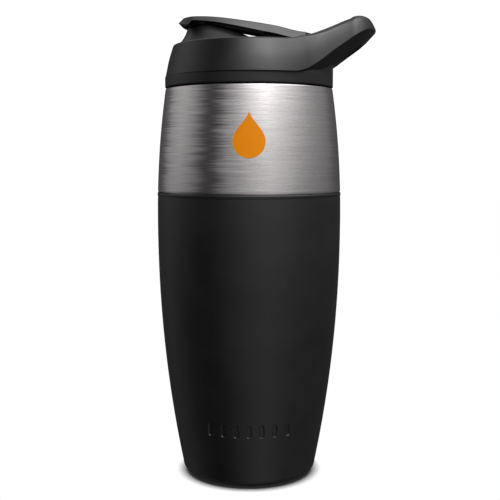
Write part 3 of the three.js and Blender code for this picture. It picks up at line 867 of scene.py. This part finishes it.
def make_rib():
    """The keel under the cap's arm."""
    outline = fillet(
        [(6, 217.6, 0.5), (11, 213.4, 1.5), (CAP_REAR, 210.8, 0.4), (CAP_REAR, 214, 0), (16, 217, 0)], 4)
    return prism("rib", outline, 4, 0.3)


# The plug's levels: height above the spout's top and how far the section is drawn in, with two soft ribs
PLUG_GAP = 0.5
PLUG_LEVELS = [
    (-2.6, 1.2), (-2.45, 0.85), (-2.2, 0.6), (-1.5, 0.25), (-1.2, 0.02), (-1.0, 0.25), (-0.7, 0.3),
    (-0.5, 0.02), (-0.2, 0.0), (2.5, 0.0),
]


def make_plug():
    half_x = CHANNEL_X - PLUG_GAP
    half_y = CHANNEL_Y - PLUG_GAP
    sections = []
    for rise, inset in PLUG_LEVELS:
        sections.append(oval(CHANNEL_CENTRE, half_x - inset, half_y - inset, SPOUT_TOP + rise))
    return loft("cap_plug", sections, sharp_angle=50)


# ---- mixing grid ----

def make_box(name, low, high):
    (x0, y0, z0), (x1, y1, z1) = low, high
    vertices = [(x, y, z) for x in (x0, x1) for y in (y0, y1) for z in (z0, z1)]
    faces = [(0, 1, 3, 2), (4, 6, 7, 5), (0, 4, 5, 1), (2, 3, 7, 6), (0, 2, 6, 4), (1, 5, 7, 3)]
    return new_object(name, vertices, faces)


def grid_ring(name, top):
    inner = GRID_RADIUS - GRID_RIM
    profile = [(inner, GRID_BOTTOM), (GRID_RADIUS, GRID_BOTTOM), (GRID_RADIUS, top), (inner, top)]
    return lathe(name, profile)


def make_grid():
    """A flat grid with a low rim and four upright clips on its diagonals."""
    inner = GRID_RADIUS - GRID_RIM
    top = GRID_BOTTOM + GRID_PLATE
    grid = None
    for place in steps(-2, 2, 4):
        middle = place * GRID_PITCH
        half = GRID_BAR / 2
        for low, high in (
            ((middle - half, -GRID_RADIUS, GRID_BOTTOM), (middle + half, GRID_RADIUS, top)),
            ((-GRID_RADIUS, middle - half, GRID_BOTTOM), (GRID_RADIUS, middle + half, top)),
        ):
            bar = make_box("shaker_grid", low, high)
            grid = combine(grid, bar, "UNION") if grid else bar
    low, high = GRID_BOTTOM - 1, top + 1
    disc = lathe("disc", [(0, low), (inner + 1, low), (inner + 1, high), (0, high)])
    grid = combine(grid, disc, "INTERSECT")
    grid = combine(grid, grid_ring("rim", top), "UNION")
    reach, half = 2 * GRID_RADIUS, CLIP_WIDTH / 2
    for quarter in (1, 3):
        crossbar = make_box("crossbar", (-reach, -half, low), (reach, half, CLIP_TOP + 1))
        crossbar.data.transform(Matrix.Rotation(quarter * math.pi / 4, 4, "Z"))
        clips = combine(grid_ring("clips", CLIP_TOP), crossbar, "INTERSECT")
        grid = combine(grid, clips, "UNION")
    return grid


def make_pin():
    return pivot_bar("pin", PIN_RADIUS, PIN_HALF_LENGTH, 0.3)


# ---- materials ----

# Base brightness of the lid's black plastics
BLACK = 0.0055


class Nodes:
    """Short calls for building one material's node tree."""

    def __init__(self, name):
        self.material = bpy.data.materials.new(name)
        self.material.use_nodes = True
        self.tree = self.material.node_tree
        self.shader = self.tree.nodes["Principled BSDF"]
        self.place = self.tree.nodes.new("ShaderNodeTexCoord").outputs["Object"]

    def node(self, kind, **settings):
        made = self.tree.nodes.new(kind)
        for key, value in settings.items():
            setattr(made, key, value)
        return made

    def link(self, source, target):
        self.tree.links.new(source, target)

    def scaled(self, scale):
        mapping = self.node("ShaderNodeMapping")
        mapping.inputs["Scale"].default_value = scale
        self.link(self.place, mapping.inputs["Vector"])
        return mapping.outputs["Vector"]

    def noise(self, scale, detail=3.0, roughness=0.5, stretch=(1, 1, 1)):
        made = self.node("ShaderNodeTexNoise")
        made.inputs["Scale"].default_value = scale
        made.inputs["Detail"].default_value = detail
        made.inputs["Roughness"].default_value = roughness
        self.link(self.scaled(stretch), made.inputs["Vector"])
        return made.outputs["Fac"]

    def ramp(self, value, low, high, to_low, to_high):
        made = self.node("ShaderNodeMapRange")
        self.link(value, made.inputs["Value"])
        for key, number in (("From Min", low), ("From Max", high), ("To Min", to_low), ("To Max", to_high)):
            made.inputs[key].default_value = number
        return made.outputs["Result"]

    def sum(self, first, second):
        made = self.node("ShaderNodeMath", operation="ADD")
        self.link(first, made.inputs[0])
        self.link(second, made.inputs[1])
        return made.outputs[0]

    def blend(self, factor, first, second):
        made = self.node("ShaderNodeMix", data_type="RGBA")
        self.link(factor, made.inputs["Factor"])
        for socket, colour in ((made.inputs[6], first), (made.inputs[7], second)):
            if isinstance(colour, tuple):
                socket.default_value = (*colour, 1.0)
            else:
                self.link(colour, socket)
        return made.outputs[2]

    def bump(self, height, distance, strength=1.0, after=None):
        made = self.node("ShaderNodeBump")
        made.inputs["Distance"].default_value = distance
        made.inputs["Strength"].default_value = strength
        self.link(height, made.inputs["Height"])
        if after:
            self.link(after, made.inputs["Normal"])
        return made.outputs["Normal"]

    def edges(self):
        """0 on flat stretches and 1 on the sharpest outer edges."""
        pointiness = self.node("ShaderNodeNewGeometry").outputs["Pointiness"]
        return self.ramp(pointiness, 0.52, 0.62, 0.0, 1.0)

    def set(self, **values):
        for key, value in values.items():
            self.shader.inputs[key.replace("_", " ")].default_value = value

    def finish(self, colour, roughness, normal):
        self.link(colour, self.shader.inputs["Base Color"])
        self.link(roughness, self.shader.inputs["Roughness"])
        self.link(normal, self.shader.inputs["Normal"])
        return self.material


def brushed_steel():
    """Brushed round the body: each fine line turns the surface a little to one side or the other."""
    m = Nodes("brushed_steel")
    fine = m.noise(1.0, 3, 0.6, (70, 70, 5200))
    line = m.noise(1.0, 3, 0.6, (45, 45, 2300))
    broad = m.noise(1.0, 2, 0.5, (26, 26, 900))
    cloud = m.noise(22, 2)
    streak = m.blend(m.ramp(line, 0.35, 0.65, 0, 1), (0.52, 0.505, 0.505), (0.64, 0.625, 0.625))
    toned = m.blend(m.ramp(fine, 0.38, 0.62, 0, 0.4), streak, (0.52, 0.505, 0.505))
    colour = m.blend(m.ramp(cloud, 0.3, 0.7, 0, 0.15), toned, (0.68, 0.67, 0.67))
    roughness = m.ramp(fine, 0.3, 0.7, 0.23, 0.32)
    tangent = m.node("ShaderNodeTangent", direction_type="RADIAL", axis="Z").outputs["Tangent"]
    lean = m.sum(m.ramp(line, 0.25, 0.75, -0.065, 0.065), m.ramp(broad, 0.25, 0.75, -0.05, 0.05))
    aside = m.node("ShaderNodeVectorMath", operation="SCALE")
    m.link(tangent, aside.inputs[0])
    m.link(lean, aside.inputs["Scale"])
    turned = m.node("ShaderNodeVectorMath", operation="ADD")
    m.link(m.node("ShaderNodeNewGeometry").outputs["Normal"], turned.inputs[0])
    m.link(aside.outputs[0], turned.inputs[1])
    straight = m.node("ShaderNodeVectorMath", operation="NORMALIZE")
    m.link(turned.outputs[0], straight.inputs[0])
    normal = m.bump(fine, 0.00003, 0.4, straight.outputs[0])
    m.link(tangent, m.shader.inputs["Tangent"])
    m.set(Metallic=1.0, Anisotropic=0.6, Anisotropic_Rotation=0.25)
    return m.finish(colour, roughness, normal)


def inner_steel():
    m = Nodes("inner_steel")
    grain = m.noise(2600, 3)
    cloud = m.noise(40, 3)
    colour = m.blend(m.ramp(cloud, 0.3, 0.7, 0, 1), (0.50, 0.50, 0.51), (0.60, 0.60, 0.61))
    roughness = m.ramp(grain, 0.3, 0.7, 0.30, 0.46)
    normal = m.bump(grain, 0.00002, 0.6)
    m.set(Metallic=1.0)
    return m.finish(colour, roughness, normal)


def silicone():
    m = Nodes("grip_silicone")
    grain = m.noise(5200, 2)
    cloud = m.noise(55, 4, 0.6)
    dust = m.noise(900, 2)
    colour = m.blend(m.ramp(cloud, 0.3, 0.7, 0, 1), (0.0026, 0.0026, 0.0034), (0.0042, 0.0042, 0.0052))
    colour = m.blend(m.ramp(dust, 0.62, 0.75, 0, 0.25), colour, (0.008, 0.008, 0.009))
    worn = m.blend(m.edges(), colour, (0.02, 0.02, 0.022))
    roughness = m.ramp(cloud, 0.3, 0.7, 0.37, 0.44)
    normal = m.bump(grain, 0.00003, 0.35)
    m.set(Specular_IOR_Level=0.58)
    return m.finish(worn, roughness, normal)


def black_plastic(name, tone, low, high):
    m = Nodes(name)
    grain = m.node("ShaderNodeTexVoronoi", feature="SMOOTH_F1")
    grain.inputs["Scale"].default_value = 2600
    m.link(m.place, grain.inputs["Vector"])
    cloud = m.noise(60, 4, 0.6)
    dark = (tone, tone, tone * 1.1)
    light = (tone * 1.3, tone * 1.3, tone * 1.42)
    colour = m.blend(m.ramp(cloud, 0.3, 0.7, 0, 1), dark, light)
    worn = m.blend(m.edges(), colour, (tone * 2.6, tone * 2.6, tone * 2.8))
    roughness = m.ramp(cloud, 0.3, 0.7, low, high)
    normal = m.bump(grain.outputs["Distance"], 0.00004, 0.3)
    return m.finish(worn, roughness, normal)


def plain_rubber(name, dark, light, low, high):
    m = Nodes(name)
    grain = m.noise(3000, 2)
    cloud = m.noise(120, 3)
    colour = m.blend(m.ramp(cloud, 0.3, 0.7, 0, 1), dark, light)
    roughness = m.ramp(grain, 0.3, 0.7, low, high)
    normal = m.bump(grain, 0.00003, 0.4)
    return m.finish(colour, roughness, normal)


def orange_print():
    m = Nodes("orange_print")
    speckle = m.noise(3800, 3)
    streak = m.noise(1.0, 3, 0.5, (60, 60, 4200))
    colour = m.blend(m.ramp(speckle, 0.3, 0.7, 0, 1), (0.66, 0.205, 0.0001), (0.72, 0.228, 0.0002))
    roughness = m.ramp(streak, 0.3, 0.7, 0.36, 0.50)
    normal = m.bump(streak, 0.00003, 0.4)
    m.set(Specular_IOR_Level=0.12)
    return m.finish(colour, roughness, normal)


def floor_paper():
    """Plain white paper that glows evenly, with a tight painted contact shadow where something stands on
    it.
    """
    m = Nodes("pale_floor")
    cloud = m.noise(8, 3)
    shadow = m.node("ShaderNodeAmbientOcclusion", samples=16)
    shadow.inputs["Distance"].default_value = 0.007
    # painted contact shadow: ambient occlusion darkens the paper's glow near whatever stands on it
    painted_shadow = m.ramp(shadow.outputs["AO"], 0.3, 0.8, 0.02, 1.0)
    paper = m.blend(m.ramp(cloud, 0.3, 0.7, 0, 1), (1.0, 1.0, 1.0), (1.02, 1.02, 1.02))
    lit = m.node("ShaderNodeEmission")
    m.link(m.blend(painted_shadow, (0.0, 0.0, 0.0), paper), lit.inputs["Color"])
    m.link(lit.outputs[0], m.tree.nodes["Material Output"].inputs["Surface"])
    return m.material


# ---- stage ----

def make_floor(material):
    half = 3000.0
    corners = [(-half, -half, 0), (half, -half, 0), (half, half, 0), (-half, half, 0)]
    floor = new_object("floor", corners, [(0, 1, 2, 3)])
    floor.data.materials.append(material)
    floor.visible_glossy = False
    floor.visible_diffuse = False


# Brightness of the studio by direction: 0 is the camera's side, positive angles are to its right.
# LOW is below the horizon, MIDDLE is a little above it, and HIGH is where the softbox hangs.
LOW = [
    (-180, 0.03), (-140, 0.07), (-118, 0.18), (-104, 0.16), (-88, 0.06), (-62, 0.02), (-40, 0.04),
    (-20, 0.15), (0, 0.30), (24, 0.43), (45, 0.31), (62, 0.15), (95, 0.12), (130, 0.07), (180, 0.03),
]
MIDDLE = [
    (-180, 0.04), (-140, 0.12), (-114, 0.55), (-97, 0.66), (-80, 0.50), (-69, 0.28), (-58, 0.08),
    (-48, 0.05), (-40, 0.14), (-33, 0.34), (-26, 0.48), (-12, 0.50), (5, 0.60), (27, 0.72), (50, 0.66),
    (68, 0.50), (88, 0.42), (112, 0.34), (140, 0.14), (180, 0.04),
]
HIGH = [
    (-180, 0.6), (-140, 0.7), (-108, 0.5), (-78, 0.18), (-60, 0.03), (-36, 0.06), (-26, 0.45), (-12, 2.2),
    (6, 5.4), (25, 8.4), (44, 5.4), (60, 4.4), (74, 4.6), (88, 2.4), (112, 1.0), (140, 0.8), (180, 0.6),
]
TOP = 0.9
LOW_TO_MIDDLE = (-14, 16)
MIDDLE_TO_HIGH = (22, 36)
HIGH_TO_TOP = (52, 74)


def ring_light(tree, stops, around):
    """Brightness by angle round the bottle. The ramp holds shares of its brightest stop."""
    most = max(value for angle, value in stops)
    made = tree.nodes.new("ShaderNodeValToRGB")
    made.color_ramp.interpolation = "EASE"
    elements = made.color_ramp.elements
    while len(elements) > 1:
        elements.remove(elements[-1])
    for i, (angle, value) in enumerate(stops):
        place = (angle + 180) / 360
        stop = elements[0] if i == 0 else elements.new(place)
        stop.position = place
        stop.color = (value / most, value / most, value / most, 1.0)
    tree.links.new(around, made.inputs[0])
    scale = tree.nodes.new("ShaderNodeMath")
    scale.operation = "MULTIPLY"
    scale.inputs[1].default_value = most
    tree.links.new(made.outputs[0], scale.inputs[0])
    return scale.outputs[0]


def make_studio():
    """Soft light from all round: a softbox above and right of the camera, and a dark gap to its left."""
    world = bpy.data.worlds.new("studio")
    bpy.context.scene.world = world
    world.use_nodes = True
    tree = world.node_tree
    tree.nodes.clear()

    def calculate(operation, *values):
        made = tree.nodes.new("ShaderNodeMath")
        made.operation = operation
        for i, value in enumerate(values):
            if isinstance(value, (int, float)):
                made.inputs[i].default_value = value
            else:
                tree.links.new(value, made.inputs[i])
        return made.outputs[0]

    def between(value, angles):
        made = tree.nodes.new("ShaderNodeMapRange")
        made.interpolation_type = "SMOOTHSTEP"
        tree.links.new(value, made.inputs["Value"])
        made.inputs["From Min"].default_value = math.radians(angles[0])
        made.inputs["From Max"].default_value = math.radians(angles[1])
        return made.outputs["Result"]

    def fade(share, first, second):
        made = tree.nodes.new("ShaderNodeMix")
        for i, value in enumerate((share, first, second)):
            if isinstance(value, float):
                made.inputs[(0, 2, 3)[i]].default_value = value
            else:
                tree.links.new(value, made.inputs[(0, 2, 3)[i]])
        return made.outputs[0]

    split = tree.nodes.new("ShaderNodeSeparateXYZ")
    tree.links.new(tree.nodes.new("ShaderNodeTexCoord").outputs["Generated"], split.inputs[0])
    x, y, z = split.outputs
    turn = calculate("ARCTAN2", x, calculate("MULTIPLY", y, -1.0))
    around = calculate("MULTIPLY_ADD", turn, 1 / (2 * math.pi), 0.5)
    up = calculate("ARCSINE", z)
    low, middle, high = (ring_light(tree, stops, around) for stops in (LOW, MIDDLE, HIGH))
    strength = fade(between(up, LOW_TO_MIDDLE), low, middle)
    strength = fade(between(up, MIDDLE_TO_HIGH), strength, high)
    strength = fade(between(up, HIGH_TO_TOP), strength, TOP)
    light = tree.nodes.new("ShaderNodeBackground")
    light.inputs["Color"].default_value = (1.0, 0.975, 0.985, 1.0)
    tree.links.new(strength, light.inputs["Strength"])
    paper = tree.nodes.new("ShaderNodeBackground")
    paper.inputs["Color"].default_value = (1.0, 1.0, 1.0, 1.0)
    paper.inputs["Strength"].default_value = 1.05
    choose = tree.nodes.new("ShaderNodeMixShader")
    tree.links.new(tree.nodes.new("ShaderNodeLightPath").outputs["Is Camera Ray"], choose.inputs[0])
    tree.links.new(light.outputs[0], choose.inputs[1])
    tree.links.new(paper.outputs[0], choose.inputs[2])
    output = tree.nodes.new("ShaderNodeOutputWorld")
    tree.links.new(choose.outputs[0], output.inputs[0])


def make_camera():
    data = bpy.data.cameras.new("camera")
    data.lens = CAMERA_LENS
    data.sensor_width = 36.0
    data.clip_start = 0.01
    data.clip_end = 20.0
    camera = bpy.data.objects.new("camera", data)
    camera.location = (CAMERA_X * MM, -CAMERA_DISTANCE * MM, CAMERA_HEIGHT * MM)
    camera.rotation_euler = (math.radians(90 - CAMERA_PITCH), 0, 0)
    bpy.context.collection.objects.link(camera)
    bpy.context.scene.camera = camera


# ---- assembly ----

def place(piece, body, node, slot, material):
    piece.data.materials.clear()
    piece.data.materials.append(material)
    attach(piece, body)
    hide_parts(node)


def dress(node, material):
    """Gives a CAD node that stays its finished material."""
    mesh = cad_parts[node].data
    mesh.materials.clear()
    mesh.materials.append(material)


def build():
    make_camera()
    make_studio()
    make_floor(floor_paper())
    steel = brushed_steel()
    inside = inner_steel()
    seal = plain_rubber("seal_rubber", (0.035, 0.035, 0.038), (0.05, 0.05, 0.053), 0.55, 0.7)
    lid_plastic = black_plastic("lid_plastic", BLACK, 0.34, 0.42)
    band_plastic = black_plastic("band_plastic", BLACK, 0.30, 0.38)
    cap_plastic = black_plastic("cap_plastic", BLACK, 0.32, 0.40)
    grid_plastic = plain_rubber("grid_plastic", (0.08, 0.08, 0.09), (0.1, 0.1, 0.11), 0.42, 0.55)
    place(make_steel_shell(), "bottle", "outer_shell", "brushed_steel", steel)
    place(make_flask(), "bottle", "inner_flask", "inner_steel", inside)
    place(make_sleeve(), "bottle", "grip_sleeve", "grip_silicone", silicone())
    place(make_emblem(), "bottle", "emblem", "orange_print", orange_print())
    place(make_lid_body(), "lid", "lid_shell", "lid_plastic", lid_plastic)
    place(make_band("carry_strap"), "lid", "carry_band", "band_plastic", band_plastic)
    place(make_pin(), "lid", "hinge_pin", "inner_steel", inside)
    place(make_gasket(), "gasket", "lid_gasket", "seal_rubber", seal)
    place(make_cap(), "cap", "flip_cap", "cap_plastic", cap_plastic)
    place(make_plug(), "cap", "spout_plug", "seal_rubber", seal)
    place(make_grid(), "grid", "mixing_grid", "grid_plastic", grid_plastic)
    for node in ("base_disc", "vacuum_seal", "getter"):
        dress(node, inside)


build()
bpy.context.scene.view_settings.view_transform = "Standard"
